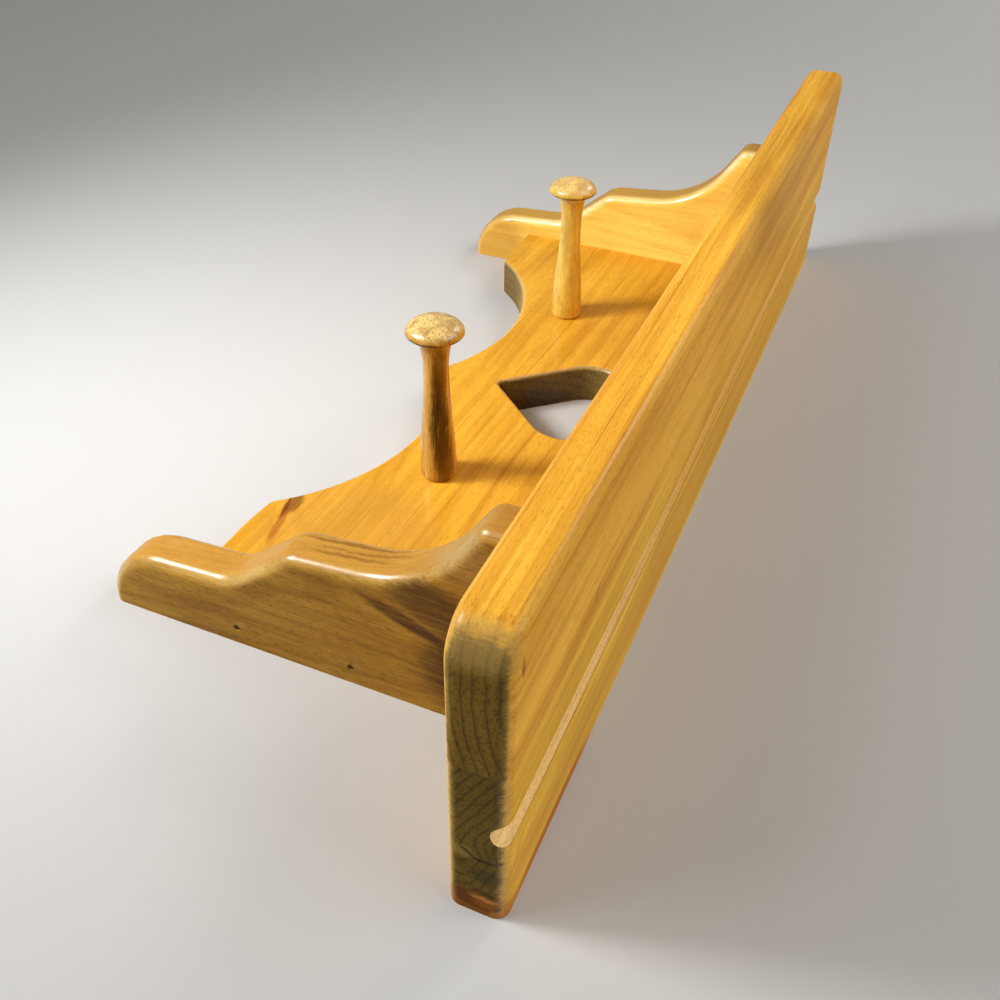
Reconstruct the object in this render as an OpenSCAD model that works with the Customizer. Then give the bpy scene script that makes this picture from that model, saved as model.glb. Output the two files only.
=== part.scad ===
// Wooden wall plate rack, lying on its back as it would on a bench.
// X runs along the shelf, Y points up when the rack hangs, Z comes out of the wall.
// The wall plane is Z = 0 and the origin is the middle of the rack's outline on that plane.
// Inside the modules Y = 0 is the underside of the shelf; placed() moves that to the origin's place.

/* [Shelf] */
// Length of the shelf, end to end
shelf_length = 484; // [460:2:600]
// Depth of the shelf from the wall to its front edge
shelf_depth = 115; // [106:1:150]
// Thickness of the shelf
shelf_thickness = 19; // [16:0.5:25]
// Rounding of the shelf's front and end edges
shelf_edge_radius = 4.5; // [2:0.5:7]
// Radius of the two front corners, seen from above
shelf_corner_radius = 14; // [8:1:25]
// Width of the back stave of the edge-glued shelf; the front stave is the rest
back_stave_width = 66; // [60:1:70]
// Distance of the plate groove's middle from the wall
groove_from_wall = 41; // [36:1:48]
// Width of the plate groove
groove_width = 9.5; // [8:0.5:12]
// Depth of the plate groove
groove_depth = 5; // [3:0.5:6]

/* [Brackets] */
// How far the shelf reaches past each bracket
shelf_overhang = 62; // [56:1:68]
// Thickness of a bracket
bracket_thickness = 19; // [16:0.5:25]
// Length of a bracket below the shelf
bracket_length = 173.5; // [160:0.5:220]
// How far a bracket reaches out from the wall under the shelf
bracket_reach = 88.5; // [86:0.5:98]
// Height of the bracket's nose above the wall
nose_height = 27; // [26.8:0.2:32]
// Radius of the nose
nose_radius = 28; // [20:0.5:28]
// How far the nose leans back from its tip
nose_lean = 1.5; // [0.5:0.5:4]
// Distance of the valley's corner from the shelf
valley_drop = 116; // [110:1:124]
// Height of the valley above the wall
valley_height = 30.5; // [29:0.5:34]
// Radius of the valley
valley_radius = 22; // [12:1:26]
// Distance of the shoulder's corner from the shelf
shoulder_drop = 90; // [84:1:94]
// Height of the shoulder above the wall
shoulder_height = 51.5; // [48:0.5:54]
// Radius of the shoulder
shoulder_radius = 14; // [10:1:18]
// Distance of the cove's corner from the shelf
cove_drop = 39; // [36:1:44]
// Height of the cove's corner above the wall
cove_height = 56.5; // [54:0.5:60]
// Radius of the cove under the shelf
cove_radius = 50; // [30:1:54]
// Length of the knuckle between the cove and the shelf
knuckle_drop = 17.5; // [15:0.5:20]
// Radius of the knuckle
knuckle_radius = 6; // [5.5:0.5:8]
// Rounding along both edges of the scroll
bracket_edge_radius = 5; // [2:0.5:5]

/* [Back board] */
// Thickness of the back board
board_thickness = 19; // [17:0.5:25]
// How far the back board reaches below the shelf
board_drop = 137.5; // [125:0.5:150]
// Radius of each of the two arches in the lower edge
arch_radius = 90; // [84:1:96]
// Distance of each arch's centre from the middle of the rack
arch_offset = 51.5; // [44:0.5:60]
// Distance of the arches' centres below the shelf
arch_drop = 193.5; // [188:0.5:200]
// Distance of the heart's point below the shelf
heart_point_drop = 87.5; // [80:0.5:92]
// Distance of the lobes' centres below the shelf
heart_lobe_drop = 47; // [44:0.5:52]
// Distance of each lobe's centre from the middle
heart_lobe_offset = 13.8; // [12:0.2:16]
// Radius of the heart's lobes
heart_lobe_radius = 17.5; // [16.5:0.1:19]
// Radius of the heart's point
heart_point_radius = 1.5; // [1:0.1:3]
// Rounding of the board's front edge along the arches and the heart
board_edge_radius = 2.5; // [1:0.5:4]

/* [Pegs] */
// Distance of each peg from the bracket beside it
peg_from_bracket = 84; // [76:1:92]
// Distance of the pegs below the shelf
peg_drop = 82; // [76:1:90]
// Height of a peg above the board
peg_height = 73.5; // [64:0.5:90]
// Radius of the peg's foot
peg_foot_radius = 7.7; // [7:0.1:9]
// Rounding at the bottom of the foot
peg_foot_rounding = 1.8; // [1:0.1:2.2]
// Radius of the peg's waist
peg_waist_radius = 5.1; // [4.2:0.1:6]
// Height of the waist above the board
peg_waist_height = 52; // [40:1:53]
// Radius of the neck under the head
peg_neck_radius = 7.2; // [6.2:0.1:8.4]
// Radius of the head
peg_head_radius = 11.6; // [10:0.1:14]
// Thickness of the head below its rim
peg_head_under = 2; // [1.4:0.1:4]
// Height of the dome above the rim
peg_dome_height = 5.6; // [4:0.1:7]
// Radius of the tenon in the board
tenon_radius = 4.75; // [4:0.05:4.8]
// Length of the tenon
tenon_length = 13; // [8:0.5:14]

/* [Dowels and nails] */
// Radius of a dowel
dowel_radius = 4; // [3:0.5:5]
// Length of a dowel inside the shelf
dowel_in_shelf = 11.5; // [8:0.5:13]
// Length of a dowel inside the bracket or board
dowel_in_board = 20; // [15:0.5:24]
// Chamfer on a dowel's ends
dowel_chamfer = 1; // [0.5:0.1:1.5]
// Distance of a bracket's back dowel from the wall
back_dowel_from_wall = 26; // [20:1:30]
// Distance of a bracket's front dowel from the seam between the staves
front_dowel_from_seam = 10; // [7:0.5:12]
// Distance of the outer board dowels from the bracket beside them
board_dowel_from_bracket = 51; // [47:1:60]
// Radius of a nail's shank
nail_radius = 0.9; // [0.6:0.1:1.2]
// Radius of a nail's head
nail_head_radius = 1.4; // [1.3:0.1:1.8]
// Thickness of a nail's head
nail_head_thickness = 1; // [0.6:0.1:1.5]
// Length of a nail
nail_length = 38; // [32:1:44]
// How far a nail's head is set below the surface
nail_set = 0.8; // [0.4:0.1:2]
// Distance of the nails from the wall
nail_from_wall = 8; // [6:0.5:10]
// Distance of the upper nails below the shelf
upper_nail_drop = 67; // [60:1:75]
// Distance of the lower nails below the shelf
lower_nail_drop = 115; // [105:1:122]
// Gap all round a pin in its hole, and at the bottom of a blind hole
fit_gap = 0.05; // [0.02:0.01:0.1]

/* [Hangers] */
// Distance of each hanger plate's middle from the bracket beside it
hanger_from_bracket = 29; // [23:1:33]
// Distance of a hanger plate's middle below the shelf
hanger_drop = 32; // [30:1:40]
// Width of a hanger plate
hanger_width = 19; // [17:0.5:22]
// Length of a hanger plate
hanger_length = 46; // [44:1:52]
// Thickness of a hanger plate
hanger_thickness = 1.5; // [1:0.1:2]
// How far a hanger plate lies below the back face
hanger_sunk = 0.3; // [0.1:0.1:0.6]
// Radius of the keyhole's entry hole
keyhole_entry_radius = 4.75; // [4.2:0.05:5]
// Half width of the keyhole's slot
keyhole_slot_radius = 2.25; // [1.8:0.05:2.6]
// Travel from the entry hole up to the end of the slot
keyhole_travel = 12; // [10:0.5:14]
// Room all round the keyhole's entry hole in the pocket behind it
keyhole_pocket_margin = 1; // [0.5:0.1:1.5]
// Depth of the pocket behind the keyhole
keyhole_pocket_depth = 5; // [3:0.5:6]
// Radius of a hanger screw's shank
screw_radius = 1.4; // [1.1:0.1:1.5]
// Radius of a hanger screw's head
screw_head_radius = 2.7; // [2.5:0.1:3]
// Length of a hanger screw
screw_length = 12; // [10:0.5:14]
// Distance of the hanger screws from the plate's ends
screw_from_end = 5.5; // [4:0.5:6]

/* [Hidden] */

$fn = 64;
// Steps along one rounded corner of an outline
corner_steps = 12;
// Steps across a rounded edge
edge_steps = 5;
// How far a cutter reaches past the face it cuts
overcut = 1;

left = -1;
right = 1;
underside_y = (bracket_length - shelf_thickness) / 2;
seam_z = back_stave_width;
front_dowel_from_wall = seam_z + front_dowel_from_seam;
bracket_outer_x = shelf_length / 2 - shelf_overhang;
bracket_inner_x = bracket_outer_x - bracket_thickness;
bracket_middle_x = bracket_outer_x - bracket_thickness / 2;
board_middle_z = board_thickness / 2;
board_dowel_x = bracket_inner_x - board_dowel_from_bracket;
peg_x = bracket_inner_x - peg_from_bracket;
hanger_x = bracket_inner_x - hanger_from_bracket;

wood_shelf = "#D79A3A";
wood_board = "#EBAA35";
wood_bracket = "#C08A38";
wood_peg = "#AE7A34";
wood_dowel = "#D8B27A";
steel = "#8D8F92";

// ---- outlines with rounded corners: a corner is [x, y, radius], listed anticlockwise ----

function edge_direction(a, b) = [b.x - a.x, b.y - a.y] / norm([b.x - a.x, b.y - a.y]);
function left_of(direction) = [-direction.y, direction.x];
function turned(v, angle) = [v.x * cos(angle) - v.y * sin(angle), v.x * sin(angle) + v.y * cos(angle)];
function corner_before(corners, i) = corners[(i + len(corners) - 1) % len(corners)];
function corner_after(corners, i) = corners[(i + 1) % len(corners)];

// One corner after the edge before it and the edge after it have moved inwards
function inset_corner(corners, inset_before, inset_after, i) =
    let (
        u = edge_direction(corner_before(corners, i), corners[i]),
        v = edge_direction(corners[i], corner_after(corners, i)),
        shift = (inset_before * v - inset_after * u) / cross(u, v),
        radius = corners[i][2]
    )
    [
        corners[i].x + shift.x,
        corners[i].y + shift.y,
        radius == 0 ? 0 : radius - sign(cross(u, v)) * inset_after
    ];

// Every corner of an outline, each edge moved in by its share of the inset
function inset_outline(corners, shares, inset) = [
    for (i = [0 : len(corners) - 1])
        inset_corner(corners, inset * corner_before(shares, i), inset * shares[i], i)
];

// The points of one corner: the corner itself, or an arc that touches both edges
function corner_points(corners, i) =
    let (
        u = edge_direction(corner_before(corners, i), corners[i]),
        v = edge_direction(corners[i], corner_after(corners, i)),
        turn = atan2(cross(u, v), u * v),
        radius = corners[i][2],
        corner = [corners[i].x, corners[i].y],
        spoke = -sign(turn) * radius * left_of(u),
        centre = corner - u * radius * tan(abs(turn) / 2) - spoke
    )
    radius == 0
        ? [corner]
        : [for (k = [0 : corner_steps]) centre + turned(spoke, turn * k / corner_steps)];

function outline_points(corners) = [for (i = [0 : len(corners) - 1]) each corner_points(corners, i)];

// A solid skinned over outlines that all have the same number of points, from the lowest up
module skin(rings, heights) {
    count = len(rings[0]);
    last = len(rings) - 1;
    polyhedron(
        points = [for (k = [0 : last]) for (p = rings[k]) [p.x, p.y, heights[k]]],
        faces = [
            [for (j = [0 : count - 1]) j],
            [for (j = [count - 1 : -1 : 0]) last * count + j],
            for (k = [0 : last - 1])
                for (j = [0 : count - 1])
                    let (low = k * count, high = low + count, next = (j + 1) % count)
                    each [[low + j, high + j, high + next], [low + j, high + next, low + next]],
        ],
        convexity = 6
    );
}

// A board with the given outline whose edges with a share of 1 are rounded on both faces
module eased_board(corners, shares, thickness, radius) {
    angles = [for (k = [0 : edge_steps]) 90 * k / edge_steps];
    lower = [for (a = angles) [radius * (1 - sin(a)), radius * (1 - cos(a))]];
    upper = [for (k = [edge_steps : -1 : 0]) [lower[k][0], thickness - lower[k][1]]];
    levels = concat(lower, upper);
    skin(
        [for (level = levels) outline_points(inset_outline(corners, shares, level[0]))],
        [for (level = levels) level[1]]
    );
}

module placed() {
    translate([0, underside_y, 0])
        children();
}

// Everything on the left is the mirror image of what is on the right
module on_side(side) {
    mirror([side == left ? 1 : 0, 0, 0])
        children();
}

// ---- shelf ----

// A stave of the shelf, from its plan outline in X and Z
module stave(corners, shares) {
    translate([0, shelf_thickness, 0])
        rotate([90, 0, 0])
            eased_board(corners, shares, shelf_thickness, shelf_edge_radius);
}

module plate_groove() {
    translate([0, shelf_thickness - groove_depth + groove_width / 2, groove_from_wall])
        rotate([0, 90, 0])
            cylinder(d = groove_width, h = shelf_length + 2 * overcut, center = true);
}

// Blind holes for the dowels, up into the shelf and down into a bracket or the board
module dowel_hole_up(x, z) {
    translate([x, -overcut, z])
        rotate([-90, 0, 0])
            cylinder(r = dowel_radius + fit_gap, h = dowel_in_shelf + fit_gap + overcut);
}

module dowel_hole_down(x, z) {
    translate([x, overcut, z])
        rotate([90, 0, 0])
            cylinder(r = dowel_radius + fit_gap, h = dowel_in_board + fit_gap + overcut);
}

module shelf_front_stave() {
    color(wood_shelf)
        placed()
            difference() {
                stave(
                    [
                        [-shelf_length / 2, seam_z, 0],
                        [shelf_length / 2, seam_z, 0],
                        [shelf_length / 2, shelf_depth, shelf_corner_radius],
                        [-shelf_length / 2, shelf_depth, shelf_corner_radius],
                    ],
                    [0, 1, 1, 1]
                );
                for (side = [left, right])
                    on_side(side)
                        dowel_hole_up(bracket_middle_x, front_dowel_from_wall);
            }
}

module shelf_back_stave() {
    color(wood_shelf)
        placed()
            difference() {
                stave(
                    [
                        [-shelf_length / 2, 0, 0],
                        [shelf_length / 2, 0, 0],
                        [shelf_length / 2, seam_z, 0],
                        [-shelf_length / 2, seam_z, 0],
                    ],
                    [0, 1, 0, 1]
                );
                plate_groove();
                for (side = [left, right])
                    on_side(side) {
                        dowel_hole_up(bracket_middle_x, back_dowel_from_wall);
                        dowel_hole_up(board_dowel_x, board_middle_z);
                    }
                dowel_hole_up(0, board_middle_z);
            }
}

// ---- brackets ----

// The scroll in Y and Z: along the wall, up the shelf's underside and back over the scroll
bracket_corners = [
    [-bracket_length, 0, 0],
    [0, 0, 0],
    [0, bracket_reach, 0],
    [-knuckle_drop, bracket_reach, knuckle_radius],
    [-cove_drop, cove_height, cove_radius],
    [-shoulder_drop, shoulder_height, shoulder_radius],
    [-valley_drop, valley_height, valley_radius],
    [-bracket_length + nose_lean, nose_height, nose_radius],
];
bracket_shares = [0, 0, 1, 1, 1, 1, 1, 1];

module nail_hole(drop) {
    head_depth = nail_set + nail_head_thickness + fit_gap;
    translate([bracket_outer_x, -drop, nail_from_wall])
        rotate([0, -90, 0]) {
            translate([0, 0, -overcut])
                cylinder(r = nail_head_radius + fit_gap, h = head_depth + overcut);
            cylinder(r = nail_radius + fit_gap, h = nail_set + nail_length + fit_gap);
        }
}

module bracket(side) {
    color(wood_bracket)
        placed()
            on_side(side)
                difference() {
                    translate([bracket_inner_x, 0, 0])
                        rotate([90, 0, 90])
                            eased_board(
                                bracket_corners, bracket_shares, bracket_thickness, bracket_edge_radius
                            );
                    dowel_hole_down(bracket_middle_x, back_dowel_from_wall);
                    dowel_hole_down(bracket_middle_x, front_dowel_from_wall);
                    nail_hole(upper_nail_drop);
                    nail_hole(lower_nail_drop);
                }
}

// ---- back board ----

// Half of the heart, from its point up the right side and round the lobe to the notch.
// grow widens the heart all round, as the rounded front edge does.
function heart_half(grow) =
    let (
        point_radius = heart_point_radius + grow,
        lobe_radius = heart_lobe_radius + grow,
        point_y = -heart_point_drop + heart_point_radius,
        lobe = [heart_lobe_offset, -heart_lobe_drop],
        reach = norm([lobe.x, lobe.y - point_y]),
        lean = atan2(lobe.y - point_y, lobe.x),
        side_angle = lean - acos((point_radius - lobe_radius) / reach),
        notch_angle = acos(-lobe.x / lobe_radius),
        steps = 2 * corner_steps
    )
    concat(
        [for (k = [0 : corner_steps])
            let (a = -90 + (side_angle + 90) * k / corner_steps)
            [point_radius * cos(a), point_y + point_radius * sin(a)]],
        [for (k = [0 : steps - 1])
            let (a = side_angle + (notch_angle - side_angle) * k / steps)
            lobe + lobe_radius * [cos(a), sin(a)]],
        [[0, lobe.y + lobe_radius * sin(notch_angle)]]
    );

function heart_outline(grow) =
    let (half = heart_half(grow), last = len(half) - 1)
    concat(half, [for (k = [last - 1 : -1 : 1]) [-half[k].x, half[k].y]]);

module heart_cutter() {
    angles = [for (k = [0 : edge_steps]) 90 * k / edge_steps];
    grows = [for (a = angles) board_edge_radius * (1 - cos(a))];
    heights = [for (a = angles) board_thickness - board_edge_radius * (1 - sin(a))];
    skin(
        [heart_outline(0), for (g = grows) heart_outline(g), heart_outline(board_edge_radius)],
        [-overcut, each heights, board_thickness + overcut]
    );
}

// One arch of the lower edge, widened at the front by a rounded edge
module arch_cutter() {
    translate([arch_offset, -arch_drop, 0]) {
        translate([0, 0, -overcut])
            cylinder(r = arch_radius, h = board_thickness + 2 * overcut, $fn = 180);
        difference() {
            translate([0, 0, board_thickness - board_edge_radius])
                cylinder(r = arch_radius + board_edge_radius, h = board_edge_radius + overcut, $fn = 180);
            rotate_extrude($fn = 180)
                translate([arch_radius + board_edge_radius, board_thickness - board_edge_radius])
                    circle(r = board_edge_radius);
        }
    }
}

module peg_hole() {
    translate([peg_x, -peg_drop, board_thickness - tenon_length - fit_gap])
        cylinder(r = tenon_radius + fit_gap, h = tenon_length + fit_gap + overcut);
}

module back_board() {
    color(wood_board)
        placed()
            difference() {
                translate([-bracket_inner_x, -board_drop, 0])
                    cube([2 * bracket_inner_x, board_drop, board_thickness]);
                heart_cutter();
                for (side = [left, right])
                    on_side(side) {
                        arch_cutter();
                        peg_hole();
                        dowel_hole_down(board_dowel_x, board_middle_z);
                        nail_hole(upper_nail_drop);
                        nail_hole(lower_nail_drop);
                        hanger_recess();
                    }
                dowel_hole_down(0, board_middle_z);
            }
}

// ---- pegs ----

peg_rim_height = peg_height - peg_dome_height;
peg_neck_height = peg_rim_height - peg_head_under;
stem_steps = 16;
head_steps = 10;

// The peg's outline from the board up, as [radius, height]
peg_profile = concat(
    [[0, 0]],
    [for (k = [0 : head_steps])
        let (a = 90 * k / head_steps)
        [
            peg_foot_radius - peg_foot_rounding * (1 - sin(a)),
            peg_foot_rounding * (1 - cos(a))
        ]],
    [for (k = [1 : stem_steps])
        let (s = k / stem_steps)
        [
            peg_waist_radius + (peg_foot_radius - peg_waist_radius) * (1 + cos(180 * s)) / 2,
            peg_foot_rounding + (peg_waist_height - peg_foot_rounding) * s
        ]],
    [for (k = [1 : head_steps])
        let (s = k / head_steps)
        [
            peg_waist_radius + (peg_neck_radius - peg_waist_radius) * s * s,
            peg_waist_height + (peg_neck_height - peg_waist_height) * s
        ]],
    [for (k = [1 : head_steps])
        let (a = 90 * k / head_steps)
        [
            peg_neck_radius + (peg_head_radius - peg_neck_radius) * sin(a),
            peg_rim_height - peg_head_under * cos(a)
        ]],
    [for (k = [1 : head_steps])
        let (a = 90 * k / head_steps)
        [peg_head_radius * cos(a), peg_rim_height + peg_dome_height * sin(a)]]
);

module peg(side) {
    color(wood_peg)
        placed()
            on_side(side)
                translate([peg_x, -peg_drop, board_thickness]) {
                    rotate_extrude()
                        polygon(peg_profile);
                    translate([0, 0, -tenon_length])
                        cylinder(r = tenon_radius, h = tenon_length + peg_foot_rounding);
                }
}

// ---- dowels ----

// A dowel that stands in the underside of the shelf at x and z
module dowel(x, z) {
    color(wood_dowel)
        placed()
            translate([x, -dowel_in_board, z])
                rotate([-90, 0, 0])
                    pin(dowel_radius, dowel_in_board + dowel_in_shelf, dowel_chamfer);
}

// A round pin with a chamfer at both ends
module pin(radius, length, chamfer) {
    cylinder(r1 = radius - chamfer, r2 = radius, h = chamfer);
    translate([0, 0, chamfer])
        cylinder(r = radius, h = length - 2 * chamfer);
    translate([0, 0, length - chamfer])
        cylinder(r1 = radius, r2 = radius - chamfer, h = chamfer);
}

// ---- nails ----

module nail(side, drop) {
    point_length = 2 * nail_radius;
    color(steel)
        placed()
            on_side(side)
                translate([bracket_outer_x - nail_set, -drop, nail_from_wall])
                    rotate([0, -90, 0]) {
                        cylinder(r = nail_head_radius, h = nail_head_thickness);
                        cylinder(r = nail_radius, h = nail_length - point_length);
                        translate([0, 0, nail_length - point_length])
                            cylinder(r1 = nail_radius, r2 = nail_radius / 4, h = point_length);
                    }
}

// ---- hangers ----

screw_offset = hanger_length / 2 - screw_from_end;
hanger_face_z = hanger_sunk + hanger_thickness;
screw_head_depth = screw_head_radius - screw_radius;

// A slot with round ends along Y, standing on Z = 0
module slot(radius, length, height) {
    translate([-radius, 0, 0])
        cube([2 * radius, length, height]);
    for (end = [0, length])
        translate([0, end, 0])
            cylinder(r = radius, h = height);
}

module screw_hole(y) {
    translate([hanger_x, -hanger_drop + y, 0])
        cylinder(r = screw_radius + fit_gap, h = hanger_sunk + screw_length + fit_gap);
}

module hanger_recess() {
    half = hanger_length / 2 + fit_gap;
    translate([hanger_x - hanger_width / 2 - fit_gap, -hanger_drop - half, -overcut])
        cube([hanger_width + 2 * fit_gap, 2 * half, hanger_face_z + overcut]);
    translate([hanger_x, -hanger_drop - keyhole_travel / 2, 0])
        slot(
            keyhole_entry_radius + keyhole_pocket_margin, keyhole_travel,
            hanger_face_z + keyhole_pocket_depth
        );
    screw_hole(screw_offset);
    screw_hole(-screw_offset);
}

module hanger_plate(side) {
    through_plate = hanger_thickness + 2 * overcut;
    color(steel)
        placed()
            on_side(side)
                translate([hanger_x, -hanger_drop, hanger_sunk])
                    difference() {
                        translate([-hanger_width / 2, -hanger_length / 2, 0])
                            cube([hanger_width, hanger_length, hanger_thickness]);
                        translate([0, -keyhole_travel / 2, -overcut]) {
                            cylinder(r = keyhole_entry_radius, h = through_plate);
                            slot(keyhole_slot_radius, keyhole_travel, through_plate);
                        }
                        for (y = [-screw_offset, screw_offset])
                            translate([0, y, 0]) {
                                translate([0, 0, -overcut])
                                    cylinder(r = screw_radius + fit_gap, h = through_plate);
                                countersink(fit_gap);
                            }
                    }
}

// The cone under a screw's head, widened by gap
module countersink(gap) {
    cylinder(r1 = screw_head_radius + gap, r2 = screw_radius + gap, h = screw_head_depth);
}

module hanger_screw(side, y) {
    point_length = 2 * screw_radius;
    color(steel)
        placed()
            on_side(side)
                translate([hanger_x, -hanger_drop + y, hanger_sunk]) {
                    countersink(0);
                    cylinder(r = screw_radius, h = screw_length - point_length);
                    translate([0, 0, screw_length - point_length])
                        cylinder(r1 = screw_radius, r2 = screw_radius / 4, h = point_length);
                }
}

back_board();
shelf_front_stave();
shelf_back_stave();
bracket(left);  // left_bracket
bracket(right);  // right_bracket
peg(left);  // left_peg
peg(right);  // right_peg
dowel(-bracket_middle_x, back_dowel_from_wall);  // left_back_dowel
dowel(-bracket_middle_x, front_dowel_from_wall);  // left_front_dowel
dowel(bracket_middle_x, back_dowel_from_wall);  // right_back_dowel
dowel(bracket_middle_x, front_dowel_from_wall);  // right_front_dowel
dowel(-board_dowel_x, board_middle_z);  // left_board_dowel
dowel(0, board_middle_z);  // middle_board_dowel
dowel(board_dowel_x, board_middle_z);  // right_board_dowel
nail(left, upper_nail_drop);  // left_upper_nail
nail(left, lower_nail_drop);  // left_lower_nail
nail(right, upper_nail_drop);  // right_upper_nail
nail(right, lower_nail_drop);  // right_lower_nail
hanger_plate(left);  // left_hanger_plate
hanger_plate(right);  // right_hanger_plate
hanger_screw(left, screw_offset);  // left_hanger_upper_screw
hanger_screw(left, -screw_offset);  // left_hanger_lower_screw
hanger_screw(right, screw_offset);  // right_hanger_upper_screw
hanger_screw(right, -screw_offset);  // right_hanger_lower_screw
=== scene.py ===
from functools import partial
from math import acos, atan2, cos, degrees, pi, radians, sin, tan

import bmesh
import bpy
from mathutils import Matrix, Vector


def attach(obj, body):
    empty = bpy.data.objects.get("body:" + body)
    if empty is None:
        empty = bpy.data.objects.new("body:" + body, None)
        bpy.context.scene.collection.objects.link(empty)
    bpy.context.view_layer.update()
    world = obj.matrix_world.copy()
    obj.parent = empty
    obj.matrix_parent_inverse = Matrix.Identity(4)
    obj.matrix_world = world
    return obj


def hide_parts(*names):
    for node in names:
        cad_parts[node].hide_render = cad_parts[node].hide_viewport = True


# The wall plate rack lies on its back: X runs along the shelf, Y is up as it hangs, Z comes out of the wall.
# Sizes are in millimetres and become metres where they meet Blender.
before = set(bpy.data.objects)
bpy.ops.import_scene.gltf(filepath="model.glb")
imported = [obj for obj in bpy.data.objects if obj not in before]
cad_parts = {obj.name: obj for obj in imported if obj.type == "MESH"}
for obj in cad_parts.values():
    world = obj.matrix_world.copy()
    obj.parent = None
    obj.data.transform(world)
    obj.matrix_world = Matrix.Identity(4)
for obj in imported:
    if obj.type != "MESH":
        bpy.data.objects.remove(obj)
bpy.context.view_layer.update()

MM = 0.001
UNDERSIDE = 77.25          # the shelf's underside, in Y

SHELF_LENGTH = 484
SHELF_DEPTH = 115
SHELF_THICK = 19
SHELF_EASE = 4.5
SHELF_CORNER = 14
SEAM = 66                  # the glue line between the two staves, from the wall
GROOVE = 41                # middle of the plate groove, from the wall
GROOVE_WIDTH = 9.5
GROOVE_DEEP = 5

BRACKET_INNER = 161
BRACKET_THICK = 19
BRACKET_EASE = 5
SCROLL = [                 # along the wall, up the shelf's underside and back over the scroll
    (-173.5, 0, 0),
    (0, 0, 0),
    (0, 88.5, 0),
    (-17.5, 88.5, 6),
    (-39, 56.5, 50),
    (-90, 51.5, 14),
    (-116, 30.5, 22),
    (-172, 27, 28),
]
NAIL_DROPS = (67, 115)
NAIL_FROM_WALL = 8
NAIL_HOLE_RADIUS = 1.45
NAIL_HOLE_DEEP = 1.85

BOARD_THICK = 19
BOARD_DROP = 137.5
BOARD_EASE = 2.5
BOARD_HEEL = 2.6           # rounding where an arch meets the lower edge
ARCH_RADIUS = 90
ARCH_OFFSET = 51.5
ARCH_DROP = 193.5
HEART_POINT = 87.5
HEART_POINT_RADIUS = 1.5
LOBE_DROP = 47
LOBE_OFFSET = 13.8
LOBE_RADIUS = 17.5

PEG_X = 77
PEG_DROP = 82
PEG_HEIGHT = 73.5
PEG_FOOT_RADIUS = 7.7
PEG_FOOT_EASE = 1.8
PEG_WAIST_RADIUS = 5.1
PEG_WAIST = 52             # height of the narrowest part of the stem
PEG_NECK_RADIUS = 7.2
PEG_HEAD_RADIUS = 11.6
PEG_HEAD_UNDER = 2         # height of the head's flared underside
PEG_DOME = 5.6

HANGER_X = 132
HANGER_DROP = 32
HANGER_RECESS = (19.1, 46.1, 1.8)
POCKET = (11.5, 23.5, 6.8)  # bored behind the hanger for the heads of the wall screws
POCKET_CORNER = 5.7
OVERCUT = 1                # how far a cutter stands out of the face it cuts


# ---- camera, floor and lamps ----

def at(*millimetres):
    """A point given in millimetres, in metres."""
    return Vector(millimetres) * MM


def set_camera():
    """Stands the camera at the photo's viewpoint, low over the right-hand end of the shelf."""
    turn, tilt, roll = radians(112.71), radians(38.67), radians(0.96)
    back = Vector((sin(turn) * cos(tilt), -cos(turn) * cos(tilt), sin(tilt)))
    right = (-back).cross(Vector((0, 0, 1))).normalized()
    up = back.cross(right)
    across = cos(roll) * right + sin(roll) * up
    upright = -sin(roll) * right + cos(roll) * up
    camera = bpy.data.objects.new("camera", bpy.data.cameras.new("camera"))
    camera.data.lens = 36.886
    camera.data.sensor_width = 36
    aim, distance = at(61.62, 17.04, 0), 0.45162
    turned = Matrix((across, upright, back)).transposed().to_4x4()
    camera.matrix_world = Matrix.Translation(aim + back * distance) @ turned
    bpy.context.scene.collection.objects.link(camera)
    bpy.context.scene.camera = camera


def add_lamp(name, place, size, power, colour, spread=180):
    """A square softbox at a place in metres, turned to the middle of the rack. A grid narrows its spread."""
    lamp = bpy.data.objects.new(name, bpy.data.lights.new(name, "AREA"))
    lamp.data.size = size
    lamp.data.energy = power
    lamp.data.color = colour
    lamp.data.spread = radians(spread)
    lamp.location = place
    lamp.rotation_euler = (lamp.location - at(0, 0, 30)).to_track_quat("Z", "Y").to_euler()
    bpy.context.scene.collection.objects.link(lamp)


# ---- materials ----

def linear(hex_colour):
    """An sRGB hex colour as linear red, green, blue and alpha."""
    parts = [int(hex_colour[i:i + 2], 16) / 255 for i in (1, 3, 5)]
    return (*[c / 12.92 if c <= 0.04045 else ((c + 0.055) / 1.055) ** 2.4 for c in parts], 1)


def add(tree, kind, inputs=None, **settings):
    """Adds a node, sets its properties and fills its inputs. A node given as an input is linked to it."""
    node = tree.nodes.new("ShaderNode" + kind)
    for name, value in settings.items():
        setattr(node, name, value)
    for name, value in (inputs or {}).items():
        if isinstance(value, bpy.types.Node):
            value = next(output for output in value.outputs if output.enabled)
        if isinstance(value, bpy.types.NodeSocket):
            tree.links.new(value, node.inputs[name])
        else:
            node.inputs[name].default_value = value
    return node


def new_material(name):
    """An empty material, and the function that adds nodes to it."""
    material = bpy.data.materials.new(name)
    material.use_nodes = True
    material.node_tree.nodes.clear()
    return material, partial(add, material.node_tree)


def grain_noise(node, vector, along, across, detail=2.0, roughness=0.5, seed=0.0):
    """Noise whose blobs are `along` mm long with the grain and `across` mm wide."""
    laid = node("Mapping", {
        "Vector": vector,
        "Location": (seed, seed * 0.7, seed * 1.3),
        "Scale": (1 / (along * MM), 1 / (across * MM), 1 / (across * MM)),
    })
    return node("TexNoise", {"Vector": laid, "Scale": 1.0, "Detail": detail, "Roughness": roughness})


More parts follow.
